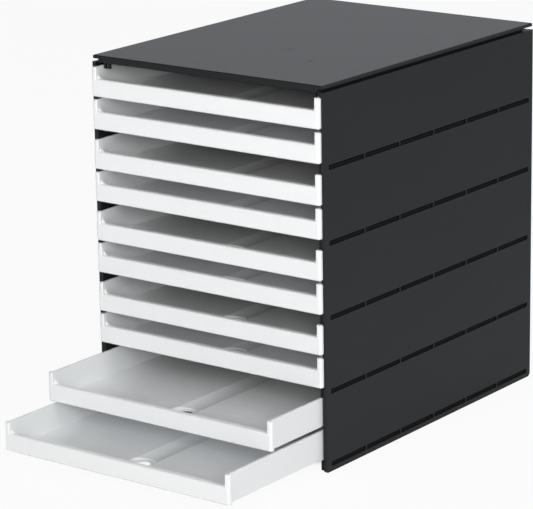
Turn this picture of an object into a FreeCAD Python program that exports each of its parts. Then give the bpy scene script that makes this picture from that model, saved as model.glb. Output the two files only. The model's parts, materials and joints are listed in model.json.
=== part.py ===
import FreeCAD, Part
import os
import re
import Sketcher

# Desk-top file box: an anthracite housing of two slotted side panels, five shelves, five back walls
# and a clipped top cover, with ten white trays that slide out to the front. All sizes are in millimetres.
# The frame: +X to the right, +Y to the back, +Z up. The origin is on the surface that the box stands on,
# midway between the side panels and midway between the farthest drawn-out tray and the housing's back.
# Each piece is drawn with the shut trays' front plane at zero and its own base at zero, then placed.

SIZES = {
    # the whole housing
    "housing_width": 246.0,
    "housing_depth": 330.0,
    "module_count": 5,
    # side panels: a plate with a thicker front edge, rows of slots, nubs, ledges and a top flange
    "panel_plate": 2.2,
    "panel_rise": 3.9,
    "panel_corner": 2.5,
    "bead_thickness": 3.4,
    "bead_depth": 8.0,
    "bead_radius": 1.0,
    "nub_reach": 1.8,
    "nub_height": 8.5,
    "nub_bottom": 2.3,
    "ledge_reach": 6.3,
    "ledge_thickness": 3.0,
    "ledge_start": 16.0,
    "ledge_lead": 1.5,
    "top_flange_reach": 4.9,
    "top_flange_thickness": 1.6,
    # rows of slots for the shelves' tabs
    "slot_height": 4.2,
    "slot_bottom": 4.35,
    "slot_bridge": 1.7,
    "slot_back_margin": 6.2,
    "slot_count": 6,
    # shelves
    "shelf_thickness": 2.6,
    "shelf_set_back": 25.0,
    "shelf_side_clearance": 0.4,
    "shelf_lip_height": 6.0,
    "shelf_lip_thickness": 2.0,
    "shelf_lip_radius": 0.6,
    "shelf_arm_width": 3.4,
    "tab_recess": 1.5,
    # back walls and the channels that hold them
    "back_wall_thickness": 2.0,
    "back_lip_thickness": 1.2,
    "back_lip_reach": 3.3,
    "back_shoulder_depth": 2.6,
    "back_shoulder_reach": 1.2,
    # top cover
    "cover_gap": 2.9,
    "cover_thickness": 3.0,
    "cover_side_inset": 1.0,
    "cover_front": 4.0,
    "cover_radius": 0.8,
    "cover_lip_drop": 3.6,
    "cover_lip_thickness": 2.2,
    "cover_lip_set_back": 1.0,
    "cover_lip_slant": 5.5,
    "cover_lip_edge": 0.7,
    "rim_side_inset": 5.0,
    "rim_back_inset": 10.0,
    "rim_thickness": 2.0,
    "clip_slot": 2.2,
    "clip_prong": 2.3,
    "clip_thickness": 2.2,
    "clip_set_back": 7.1,
    "clip_drop": 9.4,
    "clip_barb_reach": 0.8,
    "clip_barb_height": 0.9,
    "rear_clip_drop": 5.6,
    # trays: a tub behind a front flange with two corner posts
    "flange_side_inset": 1.6,
    "flange_depth": 3.5,
    "flange_bottom": 11.3,
    "flange_side_radius": 2.5,
    "flange_edge": 0.9,
    "tray_height": 26.2,
    "tray_gap": 2.9,
    "pair_gap": 9.3,
    "notch_depth": 10.5,
    "post_width": 5.0,
    "tub_lift": 1.0,
    "tub_wall": 2.0,
    "tub_floor": 2.0,
    "tub_corner": 3.0,
    "tub_floor_edge": 1.2,
    "tub_back_clearance": 0.5,
    "notch_radius": 4.0,
    # finger hole in a dish over a boss, with a scooped trough behind it
    "hole_diameter": 14.0,
    "hole_set_back": 38.0,
    "dish_diameter": 24.0,
    "dish_floor_diameter": 20.0,
    "dish_depth": 1.9,
    "boss_diameter": 27.0,
    "trough_width": 22.0,
    "trough_depth": 1.3,
    "trough_back_margin": 12.0,
    # stops on the tubs' sides, which run into the panels' front edges
    "stop_reach": 1.6,
    "stop_length": 4.0,
    "stop_ramp": 6.0,
    "stop_height": 6.0,
    "stop_lift": 8.0,
    # how far the trays move, and how far the two lowest are drawn out
    "travel": 255.0,
    "ninth_drawn": 71.0,
    "tenth_drawn": 129.0,
    # clearances
    "slide_clearance": 0.8,
    "seat_clearance": 0.3,
    # how far a cut runs past the face that it opens
    "overrun": 1.0,
}

# Places that several pieces share, as formulas in the sizes above.
PLACES = {
    "middle_shift": "(tenth_drawn - housing_depth) / 2",
    "half_width": "housing_width / 2",
    # side panels, measured from the middle
    "recess_face": "half_width - panel_plate",
    "bead_face": "half_width - bead_thickness",
    "nub_face": "bead_face - nub_reach",
    "ledge_face": "recess_face - ledge_reach",
    "top_flange_face": "recess_face - top_flange_reach",
    "shoulder_face": "recess_face - back_shoulder_reach",
    "back_lip_face": "recess_face - back_lip_reach",
    # side panels, measured from the front
    "bead_back": "flange_depth + bead_depth",
    "slot_end": "housing_depth - slot_back_margin",
    "slot_length": "(slot_end - bead_back - slot_bridge * (slot_count - 1)) / slot_count",
    "wall_back": "housing_depth - back_lip_thickness",
    "wall_front": "wall_back - back_wall_thickness",
    "shoulder_back": "wall_front - seat_clearance",
    "shoulder_front": "shoulder_back - back_shoulder_depth",
    "foot_top": "panel_top - module_pitch * module_count",
    # levels
    "module_pitch": "2 * tray_height + tray_gap + pair_gap",
    "upper_bottom": "flange_bottom + tray_height + tray_gap",
    "trays_top": "module_pitch * (module_count - 1) + upper_bottom + tray_height",
    "panel_top": "trays_top + panel_rise",
    "top_flange_bottom": "panel_top - top_flange_thickness",
    "cover_bottom": "panel_top + cover_gap",
    # top cover
    "cover_half": "half_width - cover_side_inset",
    "rim_half": "cover_half - rim_side_inset",
    "lip_front": "cover_front + cover_lip_set_back",
    "lip_back": "lip_front + cover_lip_thickness",
    "clip_outer": "top_flange_face - seat_clearance",
    "clip_inner": "clip_outer - 2 * clip_prong - clip_slot",
    "clip_front": "flange_depth + clip_set_back",
    "rear_clip_front": "shoulder_front - seat_clearance - clip_thickness",
    "barb_top": "top_flange_bottom - seat_clearance - cover_bottom",
    # trays
    "flange_half": "half_width - flange_side_inset",
    "notch_half": "flange_half - post_width",
    "notch_bottom": "tray_height - notch_depth",
    "tub_half": "bead_face - slide_clearance",
    "tub_back": "wall_front - tub_back_clearance",
    "tub_inner_half": "tub_half - tub_wall",
    "tub_inner_front": "flange_depth + tub_wall",
    "tub_inner_back": "tub_back - tub_wall",
    "floor_top": "tub_lift + tub_floor",
    "trough_radius": "(trough_width * trough_width / 4 + trough_depth * trough_depth) / (2 * trough_depth)",
    "stop_front": "bead_back + travel + seat_clearance",
}

AXES = {"x": 0, "y": 1, "z": 2}
TOLERANCE_SHARE = 1e-5

doc = FreeCAD.newDocument("FileBox")
sheet = doc.addObject("Spreadsheet::Sheet", "Sizes")
for row, alias in enumerate(SIZES, 1):
    sheet.set("A%d" % row, alias)
    sheet.set("B%d" % row, str(SIZES[alias]))
    sheet.setAlias("B%d" % row, alias)
doc.recompute()


def formula(text):
    """The same formula, with every place spelled out and every size read from the sheet."""

    def spell(match):
        word = match.group()
        if word in PLACES:
            return "(" + formula(PLACES[word]) + ")"
        if word in SIZES:
            return "Sizes." + word
        return word

    return re.sub(r"[a-z_]+", spell, text)


def value(text):
    """What a formula comes to, as a number."""
    result = sheet.evalExpression(formula(text))
    return float(getattr(result, "Value", result))


CLOSE = value("housing_width") * TOLERANCE_SHARE


def new_body(name, rise="0", drawn="0"):
    """A body that stands on its own base, placed in the box's frame."""
    body = doc.addObject("PartDesign::Body", name)
    body.Label = name
    body.setExpression("Placement.Base.y", formula("middle_shift - " + drawn))
    body.setExpression("Placement.Base.z", formula(rise))
    return body


def new_sketch(body, name, role, offset):
    """An empty sketch on one of the body's own origin planes, moved along the plane's normal."""
    plane = [part for part in body.Origin.OriginFeatures if part.Role == role][0]
    sketch = body.newObject("Sketcher::SketchObject", name)
    sketch.AttachmentSupport = [(plane, "")]
    sketch.MapMode = "FlatFace"
    sketch.setExpression("AttachmentOffset.Base.z", formula(offset))
    return sketch


def draw_outline(sketch, corners):
    """A closed outline of straight lines, each corner held by two sizes."""
    points = [FreeCAD.Vector(value(across), value(up), 0) for across, up in corners]
    first = sketch.GeometryCount
    count = len(points)
    sketch.addGeometry([Part.LineSegment(points[i], points[(i + 1) % count]) for i in range(count)])
    for i in range(count):
        sketch.addConstraint(Sketcher.Constraint("Coincident", first + i, 2, first + (i + 1) % count, 1))
    for i, (across, up) in enumerate(corners):
        for kind, text, place in (("DistanceX", across, points[i].x), ("DistanceY", up, points[i].y)):
            index = sketch.addConstraint(Sketcher.Constraint(kind, -1, 1, first + i, 1, place))
            sketch.setExpression("Constraints[%d]" % index, formula(text))


def box_outline(low_across, low_up, high_across, high_up):
    """The four corners of an upright rectangle."""
    return [(low_across, low_up), (high_across, low_up), (high_across, high_up), (low_across, high_up)]


def extrude(body, kind, name, role, offset, outlines, length, reverse=False):
    """A pad or a pocket of one or more outlines on one of the body's planes."""
    sketch = new_sketch(body, name + "Sketch", role, offset)
    for corners in outlines:
        draw_outline(sketch, corners)
    feature = body.newObject("PartDesign::" + kind, name)
    feature.Profile = sketch
    feature.setExpression("Length", formula(length))
    feature.Reversed = reverse
    doc.recompute()
    return feature


def pad(body, name, role, offset, outlines, length, reverse=False):
    return extrude(body, "Pad", name, role, offset, outlines, length, reverse)


def pocket(body, name, role, offset, outlines, length, reverse=False):
    return extrude(body, "Pocket", name, role, offset, outlines, length, reverse)


def revolve(body, kind, name, offset, corners):
    """A revolution or a groove of an outline about the upright axis, at one place along Y."""
    sketch = new_sketch(body, name + "Sketch", "XZ_Plane", offset)
    draw_outline(sketch, corners)
    feature = body.newObject("PartDesign::" + kind, name)
    feature.Profile = sketch
    feature.ReferenceAxis = (sketch, ["V_Axis"])
    feature.Angle = 360
    doc.recompute()
    return feature


def dress_edges(body, kind, name, base, edges, size):
    """A fillet or a chamfer on the named edges of the body's last feature."""
    feature = body.newObject("PartDesign::" + kind, name)
    feature.Base = (base, edges)
    feature.setExpression("Radius" if kind == "Fillet" else "Size", formula(size))
    doc.recompute()
    return feature


def round_edges(body, name, base, edges, radius):
    return dress_edges(body, "Fillet", name, base, edges, radius)


def bevel_edges(body, name, base, edges, size):
    return dress_edges(body, "Chamfer", name, base, edges, size)


def edges_along(feature, axis, places):
    """Names of the straight edges along an axis that pass through one of the places given."""
    along = AXES[axis]
    others = [index for index in range(3) if index != along]
    targets = [[value(text) for text in place] for place in places]
    names = []
    for number, edge in enumerate(feature.Shape.Edges, 1):
        ends = [vertex.Point for vertex in edge.Vertexes]
        if len(ends) != 2 or abs(ends[0][along] - ends[1][along]) < CLOSE:
            continue
        for target in targets:
            gaps = [abs(end[index] - goal) for end in ends for index, goal in zip(others, target)]
            if max(gaps) < CLOSE:
                names.append("Edge%d" % number)
    return names


def edges_level(feature, axis, level):
    """Names of the edges that lie in a plane square to an axis."""
    along = AXES[axis]
    goal = value(level)
    names = []
    for number, edge in enumerate(feature.Shape.Edges, 1):
        box = edge.BoundBox
        low = (box.XMin, box.YMin, box.ZMin)[along]
        high = (box.XMax, box.YMax, box.ZMax)[along]
        if abs(low - goal) < CLOSE and abs(high - goal) < CLOSE:
            names.append("Edge%d" % number)
    return names


def repeat_up(body, name, features):
    """The same features once more in every module above."""
    pattern = body.newObject("PartDesign::LinearPattern", name)
    pattern.Originals = features
    upright = [part for part in body.Origin.OriginFeatures if part.Role == "Z_Axis"][0]
    pattern.Direction = (upright, [""])
    pattern.setExpression("Length", formula("module_pitch * (module_count - 1)"))
    pattern.setExpression("Occurrences", formula("module_count"))
    body.Tip = pattern
    doc.recompute()
    return pattern


def side_span(side, inner, outer):
    """The low end and the length, along X, of what reaches from an inner to an outer place on one side."""
    low = inner if side > 0 else "-(%s)" % outer
    return low, "%s - (%s)" % (outer, inner)


def side_panel(name, side):
    """A tall slotted plate, thicker at its front edge."""
    body = new_body(name)

    low, thick = side_span(side, "recess_face", "half_width")
    face = [box_outline("flange_depth", "0", "housing_depth", "panel_top")]
    pad(body, "Plate", "YZ_Plane", low, face, thick)

    low, thick = side_span(side, "bead_face", "recess_face")
    edge = [box_outline("flange_depth", "0", "bead_back", "panel_top")]
    bead = pad(body, "Bead", "YZ_Plane", low, edge, thick)
    corners = edges_along(bead, "x", [("flange_depth", "0"), ("housing_depth", "0")])
    base = bevel_edges(body, "FootCorners", bead, corners, "panel_corner")
    front = edges_level(base, "y", "flange_depth")
    uprights = [name for name in front if is_upright(base, name)]
    round_edges(body, "BeadEdges", base, uprights, "bead_radius")

    # the back walls' channel: a shoulder in front, a lip behind and a foot below
    shoulder = channel_outline(side, "shoulder_face", "shoulder_front", "shoulder_back")
    lip = channel_outline(side, "back_lip_face", "wall_back", "housing_depth")
    pad(body, "Channel", "XY_Plane", "panel_corner", [shoulder, lip], "panel_top - panel_corner")
    foot = channel_outline(side, "shoulder_face", "shoulder_front", "wall_back")
    pad(body, "ChannelFoot", "XY_Plane", "panel_corner", [foot], "foot_top - panel_corner")

    # the flange that the cover stands on and clips under
    low, thick = side_span(side, "top_flange_face", "recess_face")
    start = "lip_back + seat_clearance"
    flange = [box_outline(start, "top_flange_bottom", "shoulder_front", "panel_top")]
    pad(body, "TopFlange", "YZ_Plane", low, flange, thick)

    # what every module has: a nub, two ledges and a row of slots
    low, thick = side_span(side, "nub_face", "bead_face")
    nub = [box_outline("flange_depth", "nub_bottom", "bead_back", "nub_bottom + nub_height")]
    nub = pad(body, "Nub", "YZ_Plane", low, nub, thick)
    low, thick = side_span(side, "ledge_face", "recess_face")
    ledges = [ledge_outline("flange_bottom + tub_lift"), ledge_outline("upper_bottom + tub_lift")]
    ledge = pad(body, "Ledges", "YZ_Plane", low, ledges, thick)
    low, thick = side_span(side, "recess_face - overrun", "half_width + overrun")
    high = "half_width + overrun" if side > 0 else "overrun - recess_face"
    slots = []
    for number in range(int(value("slot_count"))):
        start = slot_start(number)
        slots.append(box_outline(start, "slot_bottom", start + " + slot_length", "slot_bottom + slot_height"))
    slot_row = pocket(body, "Slots", "YZ_Plane", high, slots, thick)
    repeat_up(body, "Modules", [nub, ledge, slot_row])
    return body


def is_upright(feature, name):
    """Whether an edge runs straight up."""
    box = feature.Shape.getElement(name).BoundBox
    return box.ZLength > box.XLength + box.YLength


def channel_outline(side, inner, front, back):
    """A plan rectangle from an inner face to the panel's plate."""
    if side > 0:
        return box_outline(inner, front, "recess_face", back)
    return box_outline("-recess_face", front, "-(%s)" % inner, back)


def ledge_outline(top):
    """A ledge seen from the side, with a sloped lead at its front."""
    start = "flange_depth + ledge_start"
    bottom = top + " - ledge_thickness"
    return [
        (start, bottom),
        ("shoulder_front", bottom),
        ("shoulder_front", top),
        (start + " + ledge_lead", top),
        (start, top + " - ledge_lead"),
    ]


def slot_start(number):
    """Where one slot of a row begins."""
    return "bead_back + %d * (slot_length + slot_bridge)" % number


def shelf(name, module):
    """A plate with a front lip and two forward arms, hung by its tabs in the panels' slots."""
    body = new_body(name, "module_pitch * %d" % module)
    front = "flange_depth + shelf_set_back"
    arm_front = "bead_back + seat_clearance"
    neck = "shoulder_front - seat_clearance"
    back = "wall_front - seat_clearance"
    lip_half = "ledge_face - seat_clearance"
    wide = "recess_face - shelf_side_clearance"
    tail = "shoulder_face - seat_clearance"
    tab = "half_width - tab_recess"
    arm = "recess_face - shelf_arm_width"
    right = [(arm, front), (arm, arm_front), (tab, arm_front)]
    for number in range(int(value("slot_count"))):
        start = slot_start(number) + " + seat_clearance"
        end = slot_start(number) + " + slot_length - seat_clearance"
        if number > 0:
            right.extend([(wide, start), (tab, start)])
        right.append((tab, end))
        if number < int(value("slot_count")) - 1:
            right.append((wide, end))
    right.extend([(tail, neck), (tail, back)])
    left = [("-(%s)" % across, up) for across, up in reversed(right)]
    pad(body, "Plate", "XY_Plane", "slot_bottom", [right + left], "shelf_thickness")
    lip_outline = box_outline("-(%s)" % lip_half, front, lip_half, front + " + shelf_lip_thickness")
    lip = pad(body, "Lip", "XY_Plane", "slot_bottom", [lip_outline], "shelf_lip_height")
    top_edges = edges_along(lip, "x", [(front, "slot_bottom + shelf_lip_height"), (front, "slot_bottom")])
    round_edges(body, "LipEdges", lip, top_edges, "shelf_lip_radius")
    return body


def back_wall(name, module):
    """One plate of the closed back, standing on the plate below or on the channels' feet."""
    body = new_body(name, "foot_top + module_pitch * %d" % module)
    half = "recess_face - seat_clearance"
    outline = [box_outline("-(%s)" % half, "wall_front", half, "wall_back")]
    pad(body, "Plate", "XY_Plane", "0", outline, "module_pitch")
    return body


def top_cover(name):
    """The lid: a plate over a set-in rim, with a front lip and a split clip near each corner."""
    body = new_body(name, "cover_bottom")
    plate_outline = box_outline("-cover_half", "cover_front", "cover_half", "housing_depth")
    plate = pad(body, "Plate", "XY_Plane", "0", [plate_outline], "cover_thickness")
    plate = round_edges(body, "PlateEdges", plate, edges_level(plate, "z", "cover_thickness"), "cover_radius")

    inner = "rim_half - rim_thickness"
    back = "housing_depth - rim_back_inset"
    outer_ring = box_outline("-rim_half", "lip_front", "rim_half", back)
    start = "lip_front + rim_thickness"
    inner_ring = box_outline("-(%s)" % inner, start, inner, back + " - rim_thickness")
    pad(body, "Rim", "XY_Plane", "-cover_gap", [outer_ring, inner_ring], "cover_gap")

    lip = [
        ("-(rim_half - cover_lip_slant)", "-cover_lip_drop"),
        ("rim_half - cover_lip_slant", "-cover_lip_drop"),
        ("rim_half", "0"),
        ("-rim_half", "0"),
    ]
    lip = pad(body, "FrontLip", "XZ_Plane", "-lip_front", [lip], "cover_lip_thickness", True)
    edges = edges_along(lip, "x", [("lip_front", "-cover_lip_drop")])
    bevel_edges(body, "LipEdge", lip, edges, "cover_lip_edge")

    clips = (("Clips", "clip_front", "clip_drop"), ("RearClips", "rear_clip_front", "rear_clip_drop"))
    for name, front, drop in clips:
        pad(body, name, "XZ_Plane", "-(%s)" % front, clip_outlines(drop), "clip_thickness", True)
    return body


def clip_outlines(drop):
    """Two pairs of prongs seen from the front; the outer prong of each pair hooks outwards."""
    outer_prong = [
        ("clip_outer - clip_prong", "-" + drop),
        ("clip_outer", "-" + drop),
        ("clip_outer", "barb_top - clip_barb_height"),
        ("clip_outer + clip_barb_reach", "barb_top"),
        ("clip_outer", "barb_top"),
        ("clip_outer", "0"),
        ("clip_outer - clip_prong", "0"),
    ]
    inner_prong = box_outline("clip_inner", "-" + drop, "clip_inner + clip_prong", "0")
    outlines = []
    for sign in ("", "-"):
        for prong in (outer_prong, inner_prong):
            outlines.append([("%s(%s)" % (sign, across), up) for across, up in prong])
    return outlines


def tray(name, module, bottom, drawn):
    """A tray: a tub behind a low front wall between two full-height posts."""
    body = new_body(name, "module_pitch * %d + %s" % (module, bottom), drawn)

    tub_outline = box_outline("-tub_half", "flange_depth", "tub_half", "tub_back")
    tub = pad(body, "Tub", "XY_Plane", "tub_lift", [tub_outline], "tray_height - tub_lift")
    corners = edges_along(tub, "z", [("-tub_half", "tub_back"), ("tub_half", "tub_back")])
    bevel_edges(body, "TubCorners", tub, corners, "tub_corner")

    hollow_outline = box_outline("-tub_inner_half", "tub_inner_front", "tub_inner_half", "tub_inner_back")
    hollow = pocket(body, "Hollow", "XY_Plane", "tray_height", [hollow_outline], "tray_height - floor_top")
    sides = [("-tub_inner_half", "tub_inner_back"), ("tub_inner_half", "tub_inner_back")]
    corners = edges_along(hollow, "z", sides)
    hollow = bevel_edges(body, "HollowCorners", hollow, corners, "tub_corner - tub_wall / 2")
    bevel_edges(body, "FloorEdge", hollow, edges_level(hollow, "z", "floor_top"), "tub_floor_edge")

    # the low stretch of the front wall, with rounded lower corners
    notch_outline = box_outline("-notch_half", "notch_bottom", "notch_half", "tray_height + overrun")
    notch = pocket(body, "Notch", "XZ_Plane", "-flange_depth", [notch_outline], "tub_wall")
    corners = edges_along(notch, "y", [("-notch_half", "notch_bottom"), ("notch_half", "notch_bottom")])
    round_edges(body, "NotchCorners", notch, corners, "notch_radius")

    # the front flange with its two posts, rounded at the sides
    front = [
        ("-flange_half", "0"),
        ("flange_half", "0"),
        ("flange_half", "tray_height"),
        ("notch_half", "tray_height"),
        ("notch_half", "notch_bottom"),
        ("-notch_half", "notch_bottom"),
        ("-notch_half", "tray_height"),
        ("-flange_half", "tray_height"),
    ]
    flange = pad(body, "Flange", "XZ_Plane", "0", [front], "flange_depth", True)
    sides = edges_along(flange, "z", [("-flange_half", "0"), ("flange_half", "0")])
    flange = round_edges(body, "FlangeSides", flange, sides, "flange_side_radius")
    bevel_edges(body, "FlangeEdge", flange, edges_level(flange, "y", "0"), "flange_edge")

    # the scooped trough along the floor, then the boss, the dish and the finger hole at its front end
    scoop(body)
    boss = box_outline("0", "0", "boss_diameter / 2", "tub_lift")
    revolve(body, "Revolution", "Boss", "-hole_set_back", boss)
    dish = [
        ("0", "floor_top + overrun"),
        ("dish_diameter / 2", "floor_top + overrun"),
        ("dish_diameter / 2", "floor_top"),
        ("dish_floor_diameter / 2", "floor_top - dish_depth"),
        ("hole_diameter / 2", "floor_top - dish_depth"),
        ("hole_diameter / 2", "-overrun"),
        ("0", "-overrun"),
    ]
    revolve(body, "Groove", "Dish", "-hole_set_back", dish)

    # stops on both sides, ramped towards the back
    stops = []
    for sign in ("", "-"):
        stop = [
            ("tub_half", "stop_front"),
            ("tub_half + stop_reach", "stop_front"),
            ("tub_half + stop_reach", "stop_front + stop_length"),
            ("tub_half", "stop_front + stop_length + stop_ramp"),
        ]
        stops.append([("%s(%s)" % (sign, across), up) for across, up in stop])
    pad(body, "Stops", "XY_Plane", "stop_lift", stops, "stop_height")
    return body


def scoop(body):
    """A round-bottomed trough in a tray's floor, from the finger hole to near the back."""
    sketch = new_sketch(body, "TroughSketch", "XZ_Plane", "-hole_set_back")
    low, high, top = value("floor_top - trough_depth"), value("floor_top"), value("floor_top + overrun")
    half = value("trough_width / 2")
    places = ((half, high), (half, top), (-half, top), (-half, high))
    rim = [FreeCAD.Vector(across, up, 0) for across, up in places]
    sketch.addGeometry([Part.LineSegment(rim[i], rim[i + 1]) for i in range(3)])
    sketch.addGeometry(Part.Arc(rim[3], FreeCAD.Vector(0, low, 0), rim[0]))
    joins = [("Coincident", 0, 2, 1, 1), ("Coincident", 1, 2, 2, 1)]
    joins += [("Coincident", 2, 2, 3, 1), ("Coincident", 0, 1, 3, 2)]
    sketch.addConstraint([Sketcher.Constraint(*join) for join in joins])
    sizes = [
        ("DistanceX", (-1, 1, 0, 1), "trough_width / 2", half),
        ("DistanceY", (-1, 1, 0, 1), "floor_top", high),
        ("DistanceX", (-1, 1, 0, 2), "trough_width / 2", half),
        ("DistanceY", (-1, 1, 0, 2), "floor_top + overrun", top),
        ("DistanceX", (-1, 1, 1, 2), "-trough_width / 2", -half),
        ("DistanceY", (-1, 1, 1, 2), "floor_top + overrun", top),
        ("DistanceX", (-1, 1, 2, 2), "-trough_width / 2", -half),
        ("DistanceY", (-1, 1, 2, 2), "floor_top", high),
        ("Radius", (3,), "trough_radius", value("trough_radius")),
    ]
    for kind, points, text, size in sizes:
        index = sketch.addConstraint(Sketcher.Constraint(kind, *points, size))
        sketch.setExpression("Constraints[%d]" % index, formula(text))
    cut = body.newObject("PartDesign::Pocket", "Trough")
    cut.Profile = sketch
    cut.setExpression("Length", formula("tub_inner_back - trough_back_margin - hole_set_back"))
    doc.recompute()


bodies = [side_panel("left_side_panel", -1), side_panel("right_side_panel", 1)]
bodies.append(shelf("base_shelf", 0))
for module in range(1, int(value("module_count"))):
    bodies.append(shelf("shelf_%d" % module, module))
for module in range(int(value("module_count"))):
    bodies.append(back_wall("back_wall_%d" % (module + 1), module))
bodies.append(top_cover("top_cover"))

# the trays are numbered from the top
tray_count = 2 * int(value("module_count"))
drawn_out = {tray_count - 1: "ninth_drawn", tray_count: "tenth_drawn"}
for number in range(1, tray_count + 1):
    module = int(value("module_count")) - (number + 1) // 2
    bottom = "upper_bottom" if number % 2 else "flange_bottom"
    bodies.append(tray("drawer_%d" % number, module, bottom, drawn_out.get(number, "0")))

doc.recompute()

# Every object is sound, every cut has taken something away and every pad has added something.
for item in doc.Objects:
    if "Invalid" in item.State or "Error" in item.State:
        raise RuntimeError("%s failed: %s" % (item.Name, item.State))
for body in bodies:
    if body.Shape.isNull() or not body.Shape.isValid():
        raise RuntimeError("%s has no sound shape" % body.Label)
    volume = 0.0
    for feature in body.Group:
        if not hasattr(feature, "Refine"):
            continue
        change = feature.Shape.Volume - volume
        volume = feature.Shape.Volume
        if feature.TypeId in ("PartDesign::Pocket", "PartDesign::Groove") and change >= 0:
            raise RuntimeError("%s in %s cuts nothing" % (feature.Name, body.Label))
        if feature.TypeId == "PartDesign::Pad" and change <= 0:
            raise RuntimeError("%s in %s adds nothing" % (feature.Name, body.Label))

os.makedirs("parts", exist_ok=True)
for body in bodies:
    body.Shape.exportStep("parts/%s.step" % body.Label)
    box = body.Shape.BoundBox
    spans = (box.XMin, box.XMax, box.YMin, box.YMax, box.ZMin, box.ZMax)
    print("%-18s" % body.Label, *["%8.2f" % span for span in spans])
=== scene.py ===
import json
from math import radians

import bpy
from mathutils import Matrix, Vector


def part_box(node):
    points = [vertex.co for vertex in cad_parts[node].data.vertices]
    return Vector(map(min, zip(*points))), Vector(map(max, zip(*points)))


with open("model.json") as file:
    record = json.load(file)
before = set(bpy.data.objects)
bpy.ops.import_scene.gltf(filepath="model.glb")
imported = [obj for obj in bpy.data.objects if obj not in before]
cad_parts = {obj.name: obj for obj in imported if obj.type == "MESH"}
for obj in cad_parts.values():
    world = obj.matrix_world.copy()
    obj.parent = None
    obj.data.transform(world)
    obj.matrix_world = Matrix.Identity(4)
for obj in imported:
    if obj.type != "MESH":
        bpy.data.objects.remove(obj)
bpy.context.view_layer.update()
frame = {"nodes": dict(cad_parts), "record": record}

# The housing's outline, from the frame, in metres
HOUSING_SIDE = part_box("right_side_panel")[1].x
HOUSING_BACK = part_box("right_side_panel")[1].y
SHUT_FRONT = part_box("drawer_1")[0].y
HOUSING_MIDDLE = (SHUT_FRONT + HOUSING_BACK) / 2
HALF_DEPTH = (HOUSING_BACK - SHUT_FRONT) / 2

# The ends of the shelves' tabs, which lie in the panels' slots: over this |x| they turn dull and carry a
# painted shade, as dark as the shade inside the slots
TAB_END_START = HOUSING_SIDE - 0.0042
TAB_END_FULL = HOUSING_SIDE - 0.0034

# The painted shade on the floor, which ends just inside the housing's outline: there the camera sees less of
# the floor's glow, so the floor's real shadow shows
SHADE_INSET = 0.003
SHADE_FADE_ACROSS = 0.03
SHADE_FADE_ALONG = 0.032
FLOOR_REACH = 30.0

# The light of the room in front of the object and behind it, and the lamps
FRONT_LIGHT = 0.06
BACK_LIGHT = 0.79
LAMP_AIM = (0.0, -0.1, 0.16)
LAMP_COLOR = (1.0, 0.972, 0.95)

# The photograph's camera: angles in degrees, sensor in millimetres
CAMERA_PLACE = (1.434596, -1.912687, 0.810714)
CAMERA_TURN = 37.06448
CAMERA_TILT = 15.40952
CAMERA_ROLL = -0.94514
PHOTO_WIDTH = 533
FOCAL_PIXELS = 2804.1
SENSOR_WIDTH = 36.0

WHITE = (1, 1, 1, 1)


class Signal:
    """A shader socket that ordinary sums and products work on."""

    def __init__(self, finish, socket):
        self.finish = finish
        self.socket = socket

    def combine(self, operation, first, second):
        return self.finish.add("ShaderNodeMath", {"operation": operation}, [first, second])

    def __add__(self, other):
        return self.combine("ADD", self, other)

    def __radd__(self, other):
        return self.combine("ADD", other, self)

    def __sub__(self, other):
        return self.combine("SUBTRACT", self, other)

    def __rsub__(self, other):
        return self.combine("SUBTRACT", other, self)

    def __mul__(self, other):
        return self.combine("MULTIPLY", self, other)

    def __rmul__(self, other):
        return self.combine("MULTIPLY", other, self)

    def __abs__(self):
        return self.finish.add("ShaderNodeMath", {"operation": "ABSOLUTE"}, [self])


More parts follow.
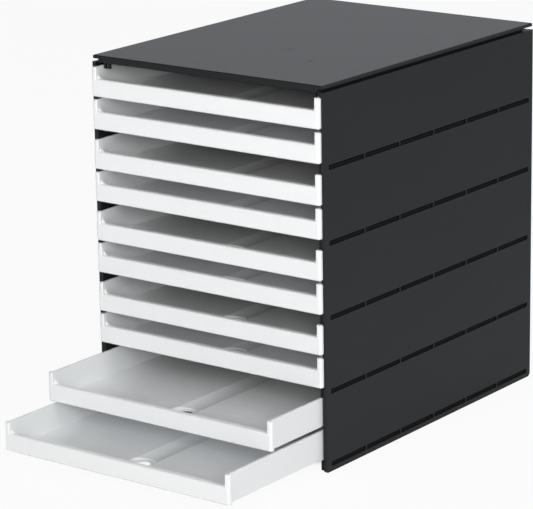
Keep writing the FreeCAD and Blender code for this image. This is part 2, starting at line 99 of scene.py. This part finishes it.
class Finish:
    """The look of one material, or of the world, built node by node."""

    def __init__(self, owner, shader="ShaderNodeBsdfPrincipled", output="ShaderNodeOutputMaterial"):
        owner.use_nodes = True
        self.owner = owner
        self.tree = owner.node_tree
        self.tree.nodes.clear()
        self.shader = self.tree.nodes.new(shader)
        surface = self.tree.nodes.new(output).inputs["Surface"]
        self.tree.links.new(self.shader.outputs[0], surface)

    def add(self, kind, settings, sockets, output=0):
        """A node of a kind: its settings first, then the values or links of its sockets."""
        node = self.tree.nodes.new(kind)
        for key, setting in settings.items():
            setattr(node, key, setting)
        pairs = enumerate(sockets) if isinstance(sockets, list) else sockets.items()
        for key, content in pairs:
            self.feed(node.inputs[key], content)
        return Signal(self, node.outputs[output])

    def feed(self, socket, content):
        """Links a signal to a socket, or sets the socket to a value."""
        if isinstance(content, Signal):
            self.tree.links.new(content.socket, socket)
        else:
            socket.default_value = content

    def set(self, **sockets):
        """Feeds the shader's sockets by name, with _ for a space."""
        for key, content in sockets.items():
            self.feed(self.shader.inputs[key.replace("_", " ")], content)

    def blend(self, factor, first, second):
        """Feeds a Mix Shader with its factor and two shaders."""
        for socket, content in zip(self.shader.inputs, (factor, first, second)):
            self.feed(socket, content)

    def place(self, kind="Object"):
        """The place on the piece, in metres, or another kind of coordinates."""
        return self.add("ShaderNodeTexCoord", {}, {}, output=kind)

    def axis(self, where, name):
        """One of a place's three coordinates."""
        return self.add("ShaderNodeSeparateXYZ", {}, [where], output=name)

    def ray(self, kind):
        """1 for rays of a kind, 0 for the others."""
        return self.add("ShaderNodeLightPath", {}, {}, output=kind)

    def stretched(self, scale):
        """The place, scaled by its own amount along each axis."""
        return self.add("ShaderNodeMapping", {}, {"Vector": self.place(), "Scale": scale})

    def noise(self, where, scale, detail, roughness=0.5):
        sockets = {"Vector": where, "Scale": scale, "Detail": detail, "Roughness": roughness}
        return self.add("ShaderNodeTexNoise", {}, sockets)

    def between(self, factor, low, high):
        """A colour between two colours. Sockets 6, 7 and 2 are the Mix node's colours."""
        sockets = {"Factor": factor, 6: low, 7: high}
        return self.add("ShaderNodeMix", {"data_type": "RGBA"}, sockets, output=2)

    def ramp(self, factor, low, high):
        """0 below the low value, 1 above the high value, smooth between them."""
        sockets = {"Value": factor, "From Min": low, "From Max": high}
        return self.add("ShaderNodeMapRange", {"interpolation_type": "SMOOTHSTEP"}, sockets)

    def clamped(self, factor):
        """A value held between 0 and 1."""
        return self.add("ShaderNodeClamp", {}, {"Value": factor})

    def bump(self, height, strength, distance):
        sockets = {"Strength": strength, "Distance": distance, "Height": height}
        return self.add("ShaderNodeBump", {}, sockets)


def tray_plastic():
    """White polystyrene: satin, faintly uneven from the mould, with fine slide marks along the trays."""
    dim_white = (0.862, 0.892, 0.912, 1)
    bright_white = (0.89, 0.916, 0.934, 1)
    worn_white = (0.8, 0.826, 0.844, 1)
    wear = 0.06
    finish = Finish(bpy.data.materials.new("white_tray_plastic"))
    where = finish.place()
    cloud = finish.noise(where, scale=9.0, detail=3.0)
    grain = finish.noise(where, scale=1900.0, detail=2.0)
    along = finish.stretched((420.0, 9.0, 420.0))
    streaks = finish.noise(along, scale=1.0, detail=4.0, roughness=0.62)
    slide_marks = finish.ramp(streaks, 0.56, 0.72)
    white = finish.between(cloud, dim_white, bright_white)
    finish.set(
        Base_Color=finish.between(slide_marks * wear, white, worn_white),
        Roughness=0.2 + cloud * 0.08 + slide_marks * 0.02,
        Normal=finish.bump(grain * 0.6 + cloud * 8.0, strength=0.22, distance=0.00006),
        IOR=1.5,
    )
    return finish.owner


def housing_plastic(name, dull_tabs_with_painted_shade=False):
    """Anthracite polystyrene with a fine mould grain and faint handling marks. Tab ends are dull and carry a
    painted shade, near black, that stands in for the shade inside the slots.
    """
    deep_grey = (0.0062, 0.0083, 0.0098, 1)
    pale_grey = (0.0094, 0.012, 0.0139, 1)
    worn_grey = (0.018, 0.0215, 0.024, 1)
    painted_slot_shade = (0.0012, 0.0015, 0.0018, 1)
    wear = 0.3
    finish = Finish(bpy.data.materials.new(name))
    where = finish.place()
    cloud = finish.noise(where, scale=7.0, detail=3.0)
    grain = finish.noise(where, scale=1500.0, detail=3.0, roughness=0.6)
    along = finish.stretched((60.0, 24.0, 60.0))
    handling = finish.noise(along, scale=1.0, detail=5.0, roughness=0.66)
    marks = finish.ramp(handling, 0.6, 0.78)
    grey = finish.between(cloud, deep_grey, pale_grey)
    color = finish.between(marks * wear, grey, worn_grey)
    roughness = 0.34 + grain * 0.1 + marks * 0.1
    if dull_tabs_with_painted_shade:
        # Painted shade: the tab ends in the slots get a near-black colour, and more roughness
        tab_end_dull_and_painted_shade = finish.ramp(abs(finish.axis(where, "X")), TAB_END_START, TAB_END_FULL)
        color = finish.between(tab_end_dull_and_painted_shade, color, painted_slot_shade)
        roughness = roughness + tab_end_dull_and_painted_shade * 0.58
    finish.set(
        Base_Color=color,
        Roughness=roughness,
        Normal=finish.bump(grain + cloud * 5.0, strength=0.3, distance=0.00008),
        IOR=1.38,
    )
    return finish.owner


def dress_pieces():
    """Gives each CAD node its finish. The shelves have their own, for the dull tab ends with their painted
    shade.
    """
    finishes = {
        "drawer_plastic": tray_plastic(),
        "housing_plastic": housing_plastic("anthracite_housing_plastic"),
    }
    shelf_finish_with_painted_shade = housing_plastic("anthracite_shelf_plastic_painted_slot_shade", dull_tabs_with_painted_shade=True)
    for subpart in frame["record"]["subparts"]:
        is_shelf = "shelf" in subpart["node"]
        for slot in frame["nodes"][subpart["node"]].material_slots:
            slot.material = shelf_finish_with_painted_shade if is_shelf else finishes[subpart["material_slot"]]


def floor_finish():
    """White paper that the camera sees as nearly white, except under the housing, where a painted shade
    lowers its glow so that its real shadow shows.
    """
    shade_glow = 0.3
    open_glow = 0.63
    mirrored_glow = 0.1
    finish = Finish(bpy.data.materials.new("studio_floor"), "ShaderNodeMixShader")
    where = finish.place()
    side_edge = HOUSING_SIDE - SHADE_INSET
    end_edge = HALF_DEPTH - SHADE_INSET
    across = finish.ramp(abs(finish.axis(where, "X")), side_edge - SHADE_FADE_ACROSS, side_edge)
    from_middle = abs(finish.axis(where, "Y") - HOUSING_MIDDLE)
    along = finish.ramp(from_middle, end_edge - SHADE_FADE_ALONG, end_edge)
    # Painted shade: inside the housing's outline the camera sees only shade_glow, so the floor's real shadow
    # shows there
    seen = finish.ray("Is Camera Ray") * (shade_glow + finish.clamped(across + along) * open_glow)
    mirrored = finish.ray("Is Glossy Ray") * mirrored_glow
    paper = finish.add("ShaderNodeBsdfDiffuse", {}, {"Color": (0.85, 0.85, 0.85, 1)})
    glow = finish.add("ShaderNodeEmission", {}, {"Color": WHITE, "Strength": 1.0})
    finish.blend(finish.clamped(seen + mirrored), paper, glow)
    return finish.owner


def lay_floor():
    mesh = bpy.data.meshes.new("floor")
    corners = [(x * FLOOR_REACH, y * FLOOR_REACH, 0) for x, y in ((-1, -1), (1, -1), (1, 1), (-1, 1))]
    mesh.from_pydata(corners, [], [(0, 1, 2, 3)])
    mesh.materials.append(floor_finish())
    floor = bpy.data.objects.new("floor", mesh)
    bpy.context.collection.objects.link(floor)


def light_world():
    """A dim room, palest behind the object, that the camera sees as white."""
    world = bpy.data.worlds.new("studio")
    bpy.context.scene.world = world
    room = Finish(world, "ShaderNodeMixShader", "ShaderNodeOutputWorld")
    rise = {"From Min": 0.1, "From Max": 0.7, "To Min": FRONT_LIGHT, "To Max": BACK_LIGHT}
    towards_back = room.axis(room.place("Generated"), "Y")
    strength = room.add("ShaderNodeMapRange", {}, {"Value": towards_back, **rise})
    soft_light = {"Color": (0.92, 0.96, 1.0, 1), "Strength": strength}
    soft = room.add("ShaderNodeBackground", {}, soft_light)
    white = room.add("ShaderNodeBackground", {}, {"Color": WHITE, "Strength": 1.0})
    room.blend(room.ray("Is Camera Ray"), soft, white)


def hang_softbox(name, place, size, power):
    """A square lamp that faces the object, with its size in metres and its power in watts."""
    lamp = bpy.data.lights.new(name, "AREA")
    lamp.shape = "SQUARE"
    lamp.size = size
    lamp.energy = power
    lamp.color = LAMP_COLOR
    holder = bpy.data.objects.new(name, lamp)
    holder.location = place
    holder.rotation_euler = (Vector(LAMP_AIM) - Vector(place)).to_track_quat("-Z", "Y").to_euler()
    bpy.context.collection.objects.link(holder)


def set_camera():
    """The photograph's viewpoint, fitted to the box's corners, slots and trays."""
    camera = bpy.data.cameras.new("camera")
    camera.sensor_width = SENSOR_WIDTH
    camera.lens = FOCAL_PIXELS / PHOTO_WIDTH * SENSOR_WIDTH
    camera.clip_end = 100.0
    turn = Matrix.Rotation(radians(CAMERA_TURN), 4, "Z")
    tilt = Matrix.Rotation(radians(90.0 - CAMERA_TILT), 4, "X")
    roll = Matrix.Rotation(radians(CAMERA_ROLL), 4, "Z")
    holder = bpy.data.objects.new("camera", camera)
    holder.matrix_world = Matrix.Translation(CAMERA_PLACE) @ turn @ tilt @ roll
    bpy.context.collection.objects.link(holder)
    bpy.context.scene.camera = holder


dress_pieces()
lay_floor()
light_world()
hang_softbox("camera_side", place=(1.812, -2.26, 1.186), size=1.2, power=44.0)
hang_softbox("front", place=(0.0, -3.011, 0.886), size=1.0, power=25.0)
hang_softbox("above", place=(0.513, -2.209, 2.281), size=2.0, power=7.0)
hang_softbox("right", place=(2.559, -0.551, 1.66), size=1.2, power=19.0)
set_camera()
bpy.context.scene.view_settings.view_transform = "Standard"
